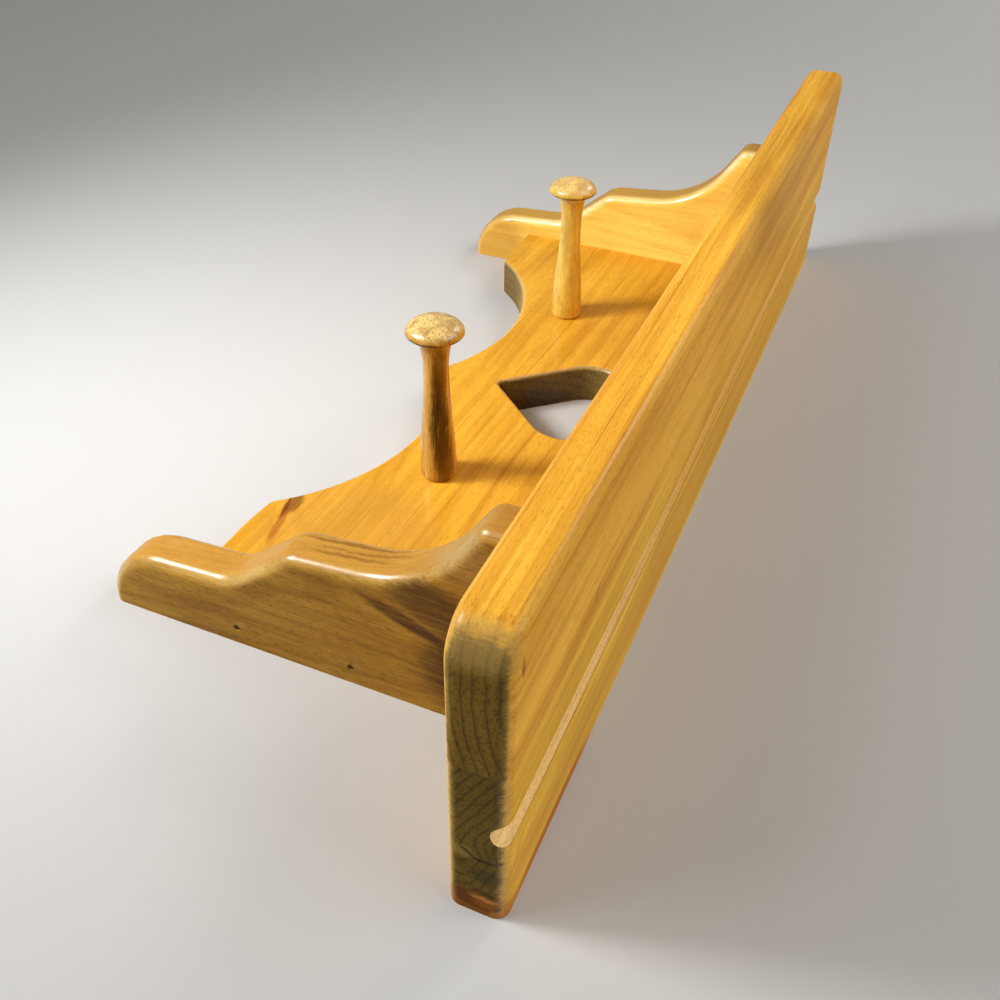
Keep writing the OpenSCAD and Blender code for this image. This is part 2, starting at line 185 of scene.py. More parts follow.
def layered(node, base, layers):
    """Lays tints over a base colour, each where its pattern runs between two values, and up to its depth."""
    for pattern, low, high, depth, tint in layers:
        share = node("MapRange", {0: pattern, 1: low, 2: high, 4: depth}, interpolation_type="SMOOTHSTEP")
        base = node("Mix", {0: share, 6: base, 7: linear(tint)}, data_type="RGBA")
    return base


def spot(node, vector, middle, radii, turned):
    """A soft oval spot, 1 in its middle and 0 from its edge outwards, with Y from the shelf's underside."""
    laid = node("Mapping", {
        "Vector": vector,
        "Location": at(middle[0], middle[1] + UNDERSIDE, middle[2]),
        "Rotation": [radians(t) for t in turned],
        "Scale": at(*radii),
    }, vector_type="TEXTURE")
    oval = node("TexGradient", {"Vector": laid}, gradient_type="SPHERICAL").outputs["Fac"]
    return node("MapRange", {0: oval, 2: 0.6}, interpolation_type="SMOOTHSTEP")


# Turns that lay each grain direction along the pattern's own X
GRAIN_TURNS = {"X": (0, 0, 0), "Y": (0, 0, -pi / 2), "Z": (0, pi / 2, 0)}
AXES = {"X": (1, 0, 0), "Y": (0, 1, 0), "Z": (0, 0, 1)}


def growth_rings(node, here, grown, ring, knots, seed):
    """Growth rings: pale early wood that darkens slowly and stops at a sharp line."""
    flat = node("VectorMath", {0: grown, 1: (0, 1, 1)}, operation="MULTIPLY")
    turns = node("Math", {
        0: node("VectorMath", {0: flat}, operation="LENGTH"),
        1: ring * MM,
    }, operation="DIVIDE")
    # They wander over half a metre, ripple over some millimetres, and bulge round the knots
    drift = [(grain_noise(node, grown, 500, 24, detail=1.0, seed=seed), 1.4),
             (grain_noise(node, grown, 40, 2.4, detail=2.0, seed=seed + 5), 0.25)]
    drift += [(spot(node, here, middle, radii, turned), rings) for middle, radii, turned, rings in knots]
    for pattern, rings in drift:
        turns = node("Math", {0: pattern, 1: rings, 2: turns}, operation="MULTIPLY_ADD")
    ring_line = node("ValToRGB", {0: node("Math", {0: turns}, operation="FRACT")})
    stops = ring_line.color_ramp.elements
    stops[0].color = (0.3, 0.3, 0.3, 1)
    stops[1].color = (0.35, 0.35, 0.35, 1)
    for place, grey in ((0.12, 0.04), (0.6, 0.14), (0.84, 0.7), (0.94, 1.0)):
        stops.new(place).color = (grey, grey, grey, 1)
    return ring_line


def wood(name, grain, face, pith, ring, tones, marks=(), knots=(), slope=(0, 0), ring_depth=0.5,
         end_depth=0.85, band_depth=0.35, line_depth=0.4, pore_depth=0.4, pores=(4, 0.3), ends=(0.38, 0.78),
         fringe=0.5, patches=(80, 32), mottle=0.0, wander=2.0, seed=0.0, wear_and_sheen=0.5, edge=("#B07A2C", 0),
         gloss=0.5, dull=1.0, roughness=0.42, lacquer=0.22, relief=0.08, peel=0.0):
    """Hardwood, planed or turned, stained golden and varnished.

    Growth rings run round a pith that lies `pith` mm from the origin across the grain, `ring` mm apart, so
    the faces show streaks and the ends show rings. Stain soaks into the end grain and darkens it. Fibre
    streaks and pores lie along the grain. On the rounded edges of a board whose broad faces look along `face`
    the stain is thinned by handling, and its pale tint there also stands in for painted sheen. The varnish
    lies over it all as a clear coat, and gives all of the shine apart from that painted sheen.

    Real fibres are under 0.1 mm wide and real pores 0.1 to 0.2 mm, too fine to show, so they are drawn
    coarser.

    tones: (pale early wood, darker late wood, streak, pore, end grain, end grain rings, pale edge tint,
    partly from handling and partly painted sheen).
    marks: knots, stains, dark streaks, and painted shade, shadow and highlights, as (middle in mm, radii in
    mm, turns in degrees, colour, depth).
    knots: where the rings bulge round a branch, as (middle in mm, radii in mm, turns in degrees, rings).
    ends: how squarely a surface faces the grain where end grain begins, and where it is full.
    fringe: how ragged that border is.
    patches, mottle: the clouds of stain in mm, and how dark they stand on end grain.
    edge: the tint of the narrow faces of a board, and its depth.
    dull: the share of the gloss that the flat faces keep, as the varnish lies thickest over rounded edges.
    lacquer: the roughness of the varnish.
    peel: how deep, in mm, the thick varnish of a turned piece is wrinkled.
    """
    early, late, streak, pore, end, end_ring, rubbed_and_sheen = tones
    material, node = new_material(name)
    coords = node("TexCoord")
    here, normal = coords.outputs["Object"], coords.outputs["Normal"]
    laid = node("Mapping", {
        "Vector": node("Mapping", {"Vector": here, "Rotation": GRAIN_TURNS[grain]}),
        "Location": at(0, -pith[0], -pith[1]),
        "Rotation": (0, radians(slope[0]), radians(slope[1])),
    })

    # The grain wanders a little, over some 200 mm along the board and 77 mm across it
    bend = node("Mapping", {"Vector": laid, "Location": (seed, seed, seed), "Scale": (5, 13, 13)})
    bend = node("TexNoise", {"Vector": bend, "Scale": 1.0, "Detail": 1.0}).outputs["Color"]
    sway = at(0, wander * 4, wander * 4)
    bend = node("VectorMath", {0: bend, 1: sway, 2: -sway / 2}, operation="MULTIPLY_ADD")
    grown = node("VectorMath", {0: laid, 1: bend}, operation="ADD")

    ring_line = growth_rings(node, here, grown, ring, knots, seed)

    # Fibres, bands of darker fibres, single dark lines, pores, and clouds where the stain took more or less
    fibres = grain_noise(node, grown, 55, 0.8, detail=3.0, roughness=0.6, seed=seed + 1)
    bands = grain_noise(node, grown, 230, 6.5, detail=3.0, roughness=0.6, seed=seed + 2)
    lines = grain_noise(node, grown, 120, 1.5, detail=2.0, roughness=0.6, seed=seed + 6)
    pits = grain_noise(node, grown, *pores, detail=1.0, seed=seed + 3)
    cloud = grain_noise(node, grown, *patches, detail=3.0, seed=seed + 4)

    side = layered(node, linear(early), [
        (ring_line, 0.0, 1.0, ring_depth, late),
        (bands, 0.42, 0.68, band_depth, streak),
        (fibres, 0.45, 0.75, band_depth * 0.8, streak),
        (lines, 0.56, 0.72, line_depth, streak),
        (pits, 0.57, 0.70, pore_depth, pore),
    ])
    vessels = grain_noise(node, grown, 4, 0.8, detail=1.0, seed=seed + 8)
    cut_end = layered(node, linear(end), [
        (ring_line, 0.0, 1.0, end_depth, end_ring),
        (fibres, 0.5, 0.7, 0.3, end_ring),
        (cloud, 0.4, 0.62, mottle, end_ring),
        (vessels, 0.56, 0.64, pore_depth * 1.6, end_ring),
    ])

    # End grain drinks stain, in a ragged fringe where a rounded edge turns into it. The fringe's hairs are
    # some 8 mm long and 0.7 mm thick, coarser than real fibres
    hairs = node("Mapping", {"Vector": grown, "Scale": (125, 280, 1500)})
    hairs = node("TexNoise", {"Vector": hairs, "Scale": 1.0, "Detail": 2.0})
    facing = node("VectorMath", {0: normal, 1: AXES[grain]}, operation="DOT_PRODUCT")
    facing = node("Math", {0: facing}, operation="ABSOLUTE")
    facing = node("Math", {0: hairs, 1: fringe, 2: facing}, operation="MULTIPLY_ADD")
    begins, full = [share + fringe / 2 for share in ends]
    end_share = node("MapRange", {0: facing, 1: begins, 2: full}, interpolation_type="SMOOTHSTEP")
    colour = node("Mix", {0: end_share, 6: side, 7: cut_end}, data_type="RGBA")

    # Stain lies unevenly
    took = node("MapRange", {0: cloud, 1: 0.3, 2: 0.7}, interpolation_type="SMOOTHSTEP")
    took = node("Mix", {0: took, 6: (0.9, 0.86, 0.75, 1), 7: (1.06, 1.08, 1.15, 1)}, data_type="RGBA")
    colour = node("Mix", {0: 1.0, 6: colour, 7: took}, data_type="RGBA", blend_type="MULTIPLY")

    # A board's narrow faces have their own tint. Its rounded edges get a paler tint, partly from handling and
    # partly painted sheen, and hold the thickest varnish
    shine = gloss
    if face:
        across = node("VectorMath", {0: normal, 1: AXES[face]}, operation="DOT_PRODUCT")
        square = node("Math", {0: across, 1: across}, operation="MULTIPLY")
        narrow = node("Math", {0: 1.0, 1: square}, operation="SUBTRACT")
        colour = layered(node, colour, [(narrow, 0.4, 1.0, edge[1], edge[0])])
        rim = node("Math", {0: square, 1: -4.0, 2: 4.0}, operation="MULTIPLY_ADD")
        rim = node("Math", {0: square, 1: rim}, operation="MULTIPLY")
        shine = node("MapRange", {0: rim, 3: gloss * dull, 4: gloss})
        for keeps in (
            node("MapRange", {0: end_share, 3: 1.0, 4: 0.75}),
            node("MapRange", {0: cloud, 1: 0.35, 2: 0.65, 3: 0.35}),
            node("MapRange", {0: fibres, 1: 0.35, 2: 0.65, 3: 1.0, 4: 0.6}),
        ):
            rim = node("Math", {0: rim, 1: keeps}, operation="MULTIPLY")
        colour = layered(node, colour, [(rim, 0.0, 1.0, wear_and_sheen, rubbed_and_sheen)])

    # Knots, stains, single dark streaks, and painted shade, shadows and highlights. Their outlines are ragged
    # by about a millimetre, every 5 mm or so
    rag = at(2.2, 2.2, 2.2)
    ragged = node("TexNoise", {"Vector": here, "Scale": 210.0, "Detail": 3.0}).outputs["Color"]
    ragged = node("VectorMath", {0: ragged, 1: rag, 2: -rag / 2}, operation="MULTIPLY_ADD")
    ragged = node("VectorMath", {0: ragged, 1: here}, operation="ADD")
    ragged = node("VectorMath", {0: ragged, 1: bend}, operation="ADD")
    for middle, radii, turned, tint, depth in marks:
        stains_and_painted_light = node("Math", {
            0: spot(node, ragged, middle, radii, turned),
            1: node("MapRange", {0: fibres, 1: 0.3, 2: 0.6, 3: 0.6}),
        }, operation="MULTIPLY")
        colour = layered(node, colour, [(stains_and_painted_light, 0.0, 1.0, depth, tint)])

    # Pores and late wood lie a little deeper, and the varnish follows them weakly
    rough = node("MapRange", {0: cloud, 1: 0.3, 2: 0.7, 3: roughness - 0.05, 4: roughness + 0.07})
    rough = node("Math", {0: pits, 1: 0.15, 2: rough}, operation="MULTIPLY_ADD")
    height = node("Math", {0: pits, 1: -1.2, 2: fibres}, operation="MULTIPLY_ADD")
    height = node("Math", {0: ring_line, 1: -0.3, 2: height}, operation="MULTIPLY_ADD")
    skin = grain_noise(node, grown, 5, 2.2, detail=3.0, seed=seed + 7)
    skin = node("Math", {0: skin, 1: 2 * peel / relief, 2: height}, operation="MULTIPLY_ADD")
    shader = node("BsdfPrincipled", {
        "Base Color": colour,
        "Roughness": rough,
        "IOR": 1.5,
        "Specular IOR Level": 0.0,
        "Coat Weight": shine,
        "Coat Roughness": lacquer,
        "Coat Normal": node("Bump", {"Height": skin, "Strength": 0.3, "Distance": relief / 2 * MM}),
        "Normal": node("Bump", {"Height": height, "Strength": 0.5, "Distance": relief * MM}),
    })
    node("OutputMaterial", {"Surface": shader})
    return material


def raw_groove(name):
    """Hardwood cut with a round cutter after staining and thinly sealed: sandy, dull and rough.

    It is golden along most of its length and paler towards the right-hand end. The sandy specks
    of 0.5 to 1.2 mm stand for torn fibres, which are finer.
    """
    material, node = new_material(name)
    here = node("TexCoord").outputs["Object"]
    fibres = grain_noise(node, here, 1.2, 0.5, detail=3.0, roughness=0.7)
    near_end = node("SeparateXYZ", {0: here}).outputs["X"]
    colour = layered(node, linear("#E8B456"), [
        (near_end, 0.04, 0.19, 0.9, "#FFDC96"),
        (grain_noise(node, here, 90, 1.0, seed=3.0), 0.5, 0.7, 0.4, "#C08832"),
        (fibres, 0.46, 0.64, 0.4, "#B8842E"),
    ])
    shader = node("BsdfPrincipled", {
        "Base Color": colour,
        "Roughness": node("MapRange", {0: fibres, 1: 0.3, 2: 0.7, 3: 0.5, 4: 0.72}),
        "Specular IOR Level": 0.3,
        "Normal": node("Bump", {"Height": fibres, "Strength": 0.6, "Distance": 0.12 * MM}),
    })
    node("OutputMaterial", {"Surface": shader})
    return material


def steel(name, pale, dark, rust, roughness, brushed=(0.4, 0.4)):
    """Zinc-plated or bright drawn steel: metal grey, finely brushed, with dull spots and a little rust.

    Real drawing marks are some 0.05 mm apart, so they are drawn coarser, at the sizes in `brushed`.
    """
    material, node = new_material(name)
    here = node("TexCoord").outputs["Object"]
    brush = grain_noise(node, here, *brushed, detail=3.0, roughness=0.7)
    dull = grain_noise(node, here, 3.5, 3.5, detail=4.0, seed=2.0)
    shader = node("BsdfPrincipled", {
        "Base Color": layered(node, linear(dark), [
            (brush, 0.3, 0.7, 1.0, pale),
            (dull, 0.58, 0.72, 0.6, rust),
        ]),
        "Metallic": 1.0,
        "Roughness": node("MapRange", {0: dull, 1: 0.35, 2: 0.7, 3: roughness, 4: roughness + 0.25}),
        "Normal": node("Bump", {"Height": brush, "Strength": 0.3, "Distance": 0.02 * MM}),
    })
    node("OutputMaterial", {"Surface": shader})
    return material


def plain_floor(name):
    """Matt pale floor of the studio."""
    material, node = new_material(name)
    shader = node("BsdfPrincipled", {
        "Base Color": linear("#C4C2BE"),
        "Roughness": 0.9,
        "Specular IOR Level": 0.1,
    })
    node("OutputMaterial", {"Surface": shader})
    return material


# ---- shapes ----

def rounded_outline(bm, corners):
    """Draws a closed outline in XY, from corners (x, y, radius) in mm listed anticlockwise, and fills it."""
    ends = []
    for i, (x, y, radius) in enumerate(corners):
        here = at(x, y, 0)
        before = (here - at(*corners[i - 1][:2], 0)).normalized()
        after = (at(*corners[(i + 1) % len(corners)][:2], 0) - here).normalized()
        turn = atan2(before.cross(after).z, before.dot(after))
        start = here - before * radius * MM * tan(abs(turn) / 2)
        first = bm.verts.new(start)
        if not radius:
            ends.append((first, first))
            continue
        side = 1 if turn > 0 else -1
        centre = start + Vector((-before.y, before.x, 0)) * radius * MM * side
        ends.append((first, swept(bm, first, centre, turn)))
    for (_, last), (first, _) in zip(ends, ends[1:] + ends[:1]):
        bm.edges.new((last, first))
    return bmesh.ops.contextual_create(bm, geom=bm.edges[:])["faces"][0]


def swept(bm, vertex, centre, turn):
    """Sweeps a vertex round a centre in XY, and gives the last vertex of the arc."""
    steps = max(3, round(abs(degrees(turn)) / 4))
    arc = bmesh.ops.spin(bm, geom=[vertex], cent=centre, axis=(0, 0, 1), angle=turn, steps=steps)
    return arc["geom_last"][0]


def thickened(bm, face, thickness):
    """Draws a face up along Z into a slab."""
    top = bmesh.ops.extrude_face_region(bm, geom=[face])["geom"]
    top = [v for v in top if isinstance(v, bmesh.types.BMVert)]
    bmesh.ops.translate(bm, verts=top, vec=at(0, 0, thickness))
    bmesh.ops.recalc_face_normals(bm, faces=bm.faces[:])


def rounded(bm, edges, radius, segments, clamp=True):
    """Rounds edges over."""
    bmesh.ops.bevel(
        bm, geom=edges, offset=radius * MM, offset_type="OFFSET", segments=segments, profile=0.5,
        affect="EDGES", clamp_overlap=clamp, material=-1,
    )


def edges_at(bm, height):
    """The edges of a slab that lie in one plane across Z, in mm."""
    return [e for e in bm.edges if all(abs(v.co.z - height * MM) < 1e-6 for v in e.verts)]


def lies_on(edge, axis, value):
    """Whether both ends of an edge lie at a value in mm along an axis."""
    return all(abs(v.co[axis] - value * MM) < 1e-6 for v in edge.verts)


def shown(name, bm):
    """Makes an object of a mesh that is still to be cut or finished."""
    mesh = bpy.data.meshes.new(name)
    bm.to_mesh(mesh)
    bm.free()
    piece = bpy.data.objects.new(name, mesh)
    bpy.context.scene.collection.objects.link(piece)
    return piece


def cut(piece, cutter):
    """Cuts the cutter's shape out of the piece."""
    step = piece.modifiers.new("cut", "BOOLEAN")
    step.operation = "DIFFERENCE"
    step.solver = "EXACT"
    step.object = cutter
    mesh = bpy.data.meshes.new_from_object(piece.evaluated_get(bpy.context.evaluated_depsgraph_get()))
    piece.modifiers.clear()
    piece.data = mesh
    bpy.data.objects.remove(cutter)


def finished(piece, node, finish, *materials):
    """Shades the piece smooth over its rounded edges and lets it stand for its solid."""
    piece.data.materials.clear()
    for material in materials:
        piece.data.materials.append(material)
    piece.data.shade_smooth()
    piece.data.set_sharp_from_angle(angle=radians(32))
    smooth = piece.modifiers.new("flat_faces_stay_flat", "WEIGHTED_NORMAL")
    smooth.keep_sharp = True
    smooth.weight = 60
    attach(piece, "root")
    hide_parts(node)
    return piece


def shelf_blank(bm):
    """The whole shelf board before it is parted at the glue line."""
    face = rounded_outline(bm, [
        (-SHELF_LENGTH / 2, 0, 0),
        (SHELF_LENGTH / 2, 0, 0),
        (SHELF_LENGTH / 2, SHELF_DEPTH, SHELF_CORNER),
        (-SHELF_LENGTH / 2, SHELF_DEPTH, SHELF_CORNER),
    ])
    thickened(bm, face, SHELF_THICK)
    rims = edges_at(bm, 0) + edges_at(bm, SHELF_THICK)
    rounded(bm, [e for e in rims if not lies_on(e, 1, 0)], SHELF_EASE, 8)
    # X stays, the outline's Y becomes the depth Z, and the slab's Z becomes the thickness
    lay = Matrix(((1, 0, 0, 0), (0, 0, -1, (UNDERSIDE + SHELF_THICK) * MM), (0, 1, 0, 0), (0, 0, 0, 1)))
    bmesh.ops.transform(bm, matrix=lay, verts=bm.verts[:])


def stave(name, keep_front):
    """One stave of the shelf: the board parted at the glue line."""
    bm = bmesh.new()
    shelf_blank(bm)
    away = Vector((0, 0, -1 if keep_front else 1))
    parted = bmesh.ops.bisect_plane(
        bm, geom=bm.verts[:] + bm.edges[:] + bm.faces[:], plane_co=at(0, 0, SEAM), plane_no=away,
        clear_outer=True,
    )
    rim = [e for e in parted["geom_cut"] if isinstance(e, bmesh.types.BMEdge)]
    bmesh.ops.contextual_create(bm, geom=rim)
    bmesh.ops.recalc_face_normals(bm, faces=bm.faces[:])
    return shown(name, bm)


def rod(name, radius, length, middle, turn=Matrix.Identity(4), segments=64):
    """A round cutter."""
    bm = bmesh.new()
    bmesh.ops.create_cone(
        bm, cap_ends=True, segments=segments, radius1=radius * MM, radius2=radius * MM, depth=length * MM,
        matrix=Matrix.Translation(at(*middle)) @ turn,
    )
    return shown(name, bm)


ALONG_X = Matrix.Rotation(pi / 2, 4, "Y")


def front_stave(materials):
    """The strip of the shelf that stands proud of the brackets."""
    piece = stave("shelf_front_strip", True)
    finished(piece, "shelf_front_stave", "shelf_wood", *materials)


def back_stave(materials):
    """The strip of the shelf at the wall, with the plate groove, whose inside has the second material."""
    piece = stave("shelf_back_strip", False)
    middle_y = UNDERSIDE + SHELF_THICK - GROOVE_DEEP + GROOVE_WIDTH / 2
    middle = (0, middle_y, GROOVE)
    cut(piece, rod("groove_cutter", GROOVE_WIDTH / 2, SHELF_LENGTH + 2 * OVERCUT, middle, ALONG_X, 96))
    finished(piece, "shelf_back_stave", "shelf_wood", *materials)
    for face in piece.data.polygons:
        out = Vector((0, face.center.y - middle_y * MM, face.center.z - GROOVE * MM))
        if abs(out.length - GROOVE_WIDTH / 2 * MM) < 0.05 * MM and face.normal.dot(out) < 0:
            face.material_index = 1


def bracket(name, node, side, material):
    """A scrolled side board with its two nail holes."""
    bm = bmesh.new()
    thickened(bm, rounded_outline(bm, SCROLL), BRACKET_THICK)
    rims = edges_at(bm, 0) + edges_at(bm, BRACKET_THICK)
    rounded(bm, [e for e in rims if not (lies_on(e, 0, 0) or lies_on(e, 1, 0))], BRACKET_EASE, 10)
    # The outline's X becomes the height Y, its Y becomes Z, and the slab's Z becomes X
    lay = Matrix(((0, 0, 1, BRACKET_INNER * MM), (1, 0, 0, UNDERSIDE * MM), (0, 1, 0, 0), (0, 0, 0, 1)))
    bmesh.ops.transform(bm, matrix=lay, verts=bm.verts[:])
    if side < 0:
        bmesh.ops.scale(bm, vec=(-1, 1, 1), verts=bm.verts[:])
        bmesh.ops.recalc_face_normals(bm, faces=bm.faces[:])
    piece = shown(name, bm)
    for drop in NAIL_DROPS:
        place = (side * (BRACKET_INNER + BRACKET_THICK), UNDERSIDE - drop, NAIL_FROM_WALL)
        cut(piece, rod("nail_cutter", NAIL_HOLE_RADIUS, 2 * NAIL_HOLE_DEEP, place, ALONG_X, 24))
    finished(piece, node, "bracket_wood", material)


def heart_half(bm):
    """Draws the right half of the heart from its point up round the lobe, and gives its two ends."""
    point_y = -HEART_POINT + HEART_POINT_RADIUS
    reach = (LOBE_OFFSET ** 2 + (-LOBE_DROP - point_y) ** 2) ** 0.5
    lean = atan2(-LOBE_DROP - point_y, LOBE_OFFSET)
    flank = lean - acos((HEART_POINT_RADIUS - LOBE_RADIUS) / reach)
    notch = acos(-LOBE_OFFSET / LOBE_RADIUS)
    point = bm.verts.new(at(0, -HEART_POINT, 0))
    tip = swept(bm, point, at(0, point_y, 0), flank + pi / 2)
    lobe = at(LOBE_OFFSET, -LOBE_DROP, 0)
    side = bm.verts.new(lobe + at(LOBE_RADIUS * cos(flank), LOBE_RADIUS * sin(flank), 0))
    bm.edges.new((tip, side))
    return point, swept(bm, side, lobe, notch - flank)


def back_board(material):
    """The board behind the pegs: its right half drawn and mirrored, then let out for the hangers."""
    bm = bmesh.new()
    point, notch = heart_half(bm)
    cusp = bm.verts.new(at(0, -ARCH_DROP + (ARCH_RADIUS ** 2 - ARCH_OFFSET ** 2) ** 0.5, 0))
    opening = acos((ARCH_DROP - BOARD_DROP) / ARCH_RADIUS)
    start = atan2((ARCH_RADIUS ** 2 - ARCH_OFFSET ** 2) ** 0.5, -ARCH_OFFSET)
    foot = swept(bm, cusp, at(ARCH_OFFSET, -ARCH_DROP, 0), pi / 2 - opening - start)
    corners = [bm.verts.new(at(x, y, 0)) for x, y in (
        (BRACKET_INNER, -BOARD_DROP), (BRACKET_INNER, 0), (0, 0))]
    straights = [(point, cusp), (foot, corners[0]), (corners[0], corners[1]), (corners[1], corners[2]),
                 (corners[2], notch)]
    for ends in straights:
        bm.edges.new(ends)
    face = bmesh.ops.contextual_create(bm, geom=bm.edges[:])["faces"][0]
    thickened(bm, face, BOARD_THICK)
    middle_faces = [f for f in bm.faces if all(abs(v.co.x) < 1e-6 for v in f.verts)]
    bmesh.ops.delete(bm, geom=middle_faces, context="FACES")
    bmesh.ops.mirror(bm, geom=bm.verts[:] + bm.edges[:] + bm.faces[:], axis="X", merge_dist=1e-6)
    bmesh.ops.recalc_face_normals(bm, faces=bm.faces[:])
    foot_x = ARCH_OFFSET + (ARCH_RADIUS ** 2 - (ARCH_DROP - BOARD_DROP) ** 2) ** 0.5
    heels = [e for e in bm.edges if lies_on(e, 1, -BOARD_DROP)
             and abs(abs(e.verts[0].co.x) - foot_x * MM) < 1e-5
             and abs(e.verts[0].co.z - e.verts[1].co.z) > 1e-3]
    rounded(bm, heels, BOARD_HEEL, 4)
    sharp = [(1, 0), (1, -BOARD_DROP), (0, BRACKET_INNER), (0, -BRACKET_INNER), (0, 0)]
    eased = [e for e in edges_at(bm, BOARD_THICK) if not any(lies_on(e, *line) for line in sharp)]
    # The heart's point is too small to clamp to
    rounded(bm, eased, BOARD_EASE, 6, clamp=False)
    bmesh.ops.translate(bm, verts=bm.verts[:], vec=at(0, UNDERSIDE, 0))
    piece = shown("back_board_with_heart", bm)
    for side in (-1, 1):
        for cutter, (width, length, deep), corner in (
                ("recess_cutter", HANGER_RECESS, 0), ("pocket_cutter", POCKET, POCKET_CORNER)):
            hollow = bmesh.new()
            thickened(hollow, rounded_outline(hollow, [
                (-width / 2, -length / 2, corner),
                (width / 2, -length / 2, corner),
                (width / 2, length / 2, corner),
                (-width / 2, length / 2, corner),
            ]), deep + OVERCUT)
            place = at(side * HANGER_X, UNDERSIDE - HANGER_DROP, -OVERCUT)
            bmesh.ops.translate(hollow, verts=hollow.verts[:], vec=place)
            cut(piece, shown(cutter, hollow))
    finished(piece, "back_board", "board_wood", material)


def peg_profile():
    """The peg's outline from the board up: foot, waisted stem, neck, flared underside and domed head."""
    rim = PEG_HEIGHT - PEG_DOME
    neck = rim - PEG_HEAD_UNDER
    outline = [(0, 0)]
    for a in [pi / 2 * k / 6 for k in range(7)]:
        outline.append((PEG_FOOT_RADIUS - PEG_FOOT_EASE * (1 - sin(a)), PEG_FOOT_EASE * (1 - cos(a))))
    for s in [k / 14 for k in range(1, 15)]:
        swell = (PEG_FOOT_RADIUS - PEG_WAIST_RADIUS) / 2 * (1 + cos(pi * s))
        outline.append((PEG_WAIST_RADIUS + swell, PEG_FOOT_EASE + (PEG_WAIST - PEG_FOOT_EASE) * s))
    for s in [k / 10 for k in range(1, 11)]:
        flare = (PEG_NECK_RADIUS - PEG_WAIST_RADIUS) * s * s
        outline.append((PEG_WAIST_RADIUS + flare, PEG_WAIST + (neck - PEG_WAIST) * s))
    for a in [pi / 2 * k / 8 for k in range(1, 9)]:
        lip = (PEG_HEAD_RADIUS - PEG_NECK_RADIUS) * sin(a)
        outline.append((PEG_NECK_RADIUS + lip, rim - PEG_HEAD_UNDER * cos(a)))
    for a in [pi / 2 * k / 12 for k in range(1, 12)]:
        outline.append((PEG_HEAD_RADIUS * cos(a), rim + PEG_DOME * sin(a)))
    return outline + [(0, PEG_HEIGHT)]


def peg(name, node, side, material):
    """A peg, turned from its outline."""
    bm = bmesh.new()
    line = [bm.verts.new(at(radius, 0, height)) for radius, height in peg_profile()]
    for ends in zip(line, line[1:]):
        bm.edges.new(ends)
    bmesh.ops.spin(
        bm, geom=bm.verts[:] + bm.edges[:], cent=(0, 0, 0), axis=(0, 0, 1), angle=2 * pi, steps=64,
        use_merge=True,
    )
    bmesh.ops.remove_doubles(bm, verts=bm.verts[:], dist=1e-6)
    bmesh.ops.recalc_face_normals(bm, faces=bm.faces[:])
    bmesh.ops.translate(bm, verts=bm.verts[:], vec=at(side * PEG_X, UNDERSIDE - PEG_DROP, BOARD_THICK))
    finished(shown(name, bm), node, "peg_wood", material)


def dress(nodes, material):
    """Gives solids that keep their own shape their finish."""
    for name in nodes:
        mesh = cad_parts[name].data
        mesh.materials.clear()
        mesh.materials.append(material)


# ---- the scene ----

bpy.context.scene.view_settings.view_transform = "Standard"
set_camera()

ground = bmesh.new()
bmesh.ops.create_grid(ground, x_segments=1, y_segments=1, size=6)
floor = shown("floor", ground)
floor.data.materials.append(plain_floor("pale_matt_floor"))

# The two near softboxes draw the white lines along the rounded edges, the far one throws the pegs' shadows,
# and the large one fills from above the shelf
COOL, WARM, NEUTRAL = (0.97, 0.98, 1.0), (1.0, 0.98, 0.96), (1.0, 0.99, 0.98)
add_lamp("key_softbox", (0.33, -0.52, 0.50), 0.2, 1.45, COOL, spread=80)
add_lamp("upper_softbox", (0.45, -0.345, 0.644), 0.25, 0.7, COOL, spread=120)
add_lamp("far_softbox", (-1.65, 0.75, 1.35), 0.5, 9, WARM)
add_lamp("fill_softbox", (-0.6, 2.9, 2.7), 3.0, 80, NEUTRAL)

# The world lights the rack softly, and shows a paler grey to the camera and in reflections
LIT_GREY, SEEN_GREY = (0.15, 0.15, 0.15, 1), (0.28, 0.28, 0.28, 1)
world = bpy.data.worlds.new("studio")
bpy.context.scene.world = world
world.use_nodes = True
world.node_tree.nodes.clear()
sky = partial(add, world.node_tree)
path = sky("LightPath")
seen = path.outputs["Is Camera Ray"]
for ray in ("Is Glossy Ray", "Is Transmission Ray"):
    seen = sky("Math", {0: seen, 1: path.outputs[ray]}, operation="MAXIMUM")
grey = sky("Mix", {0: seen, 6: LIT_GREY, 7: SEEN_GREY}, data_type="RGBA")
sky("OutputWorld", {0: sky("Background", {"Color": grey, "Strength": 1.0})})

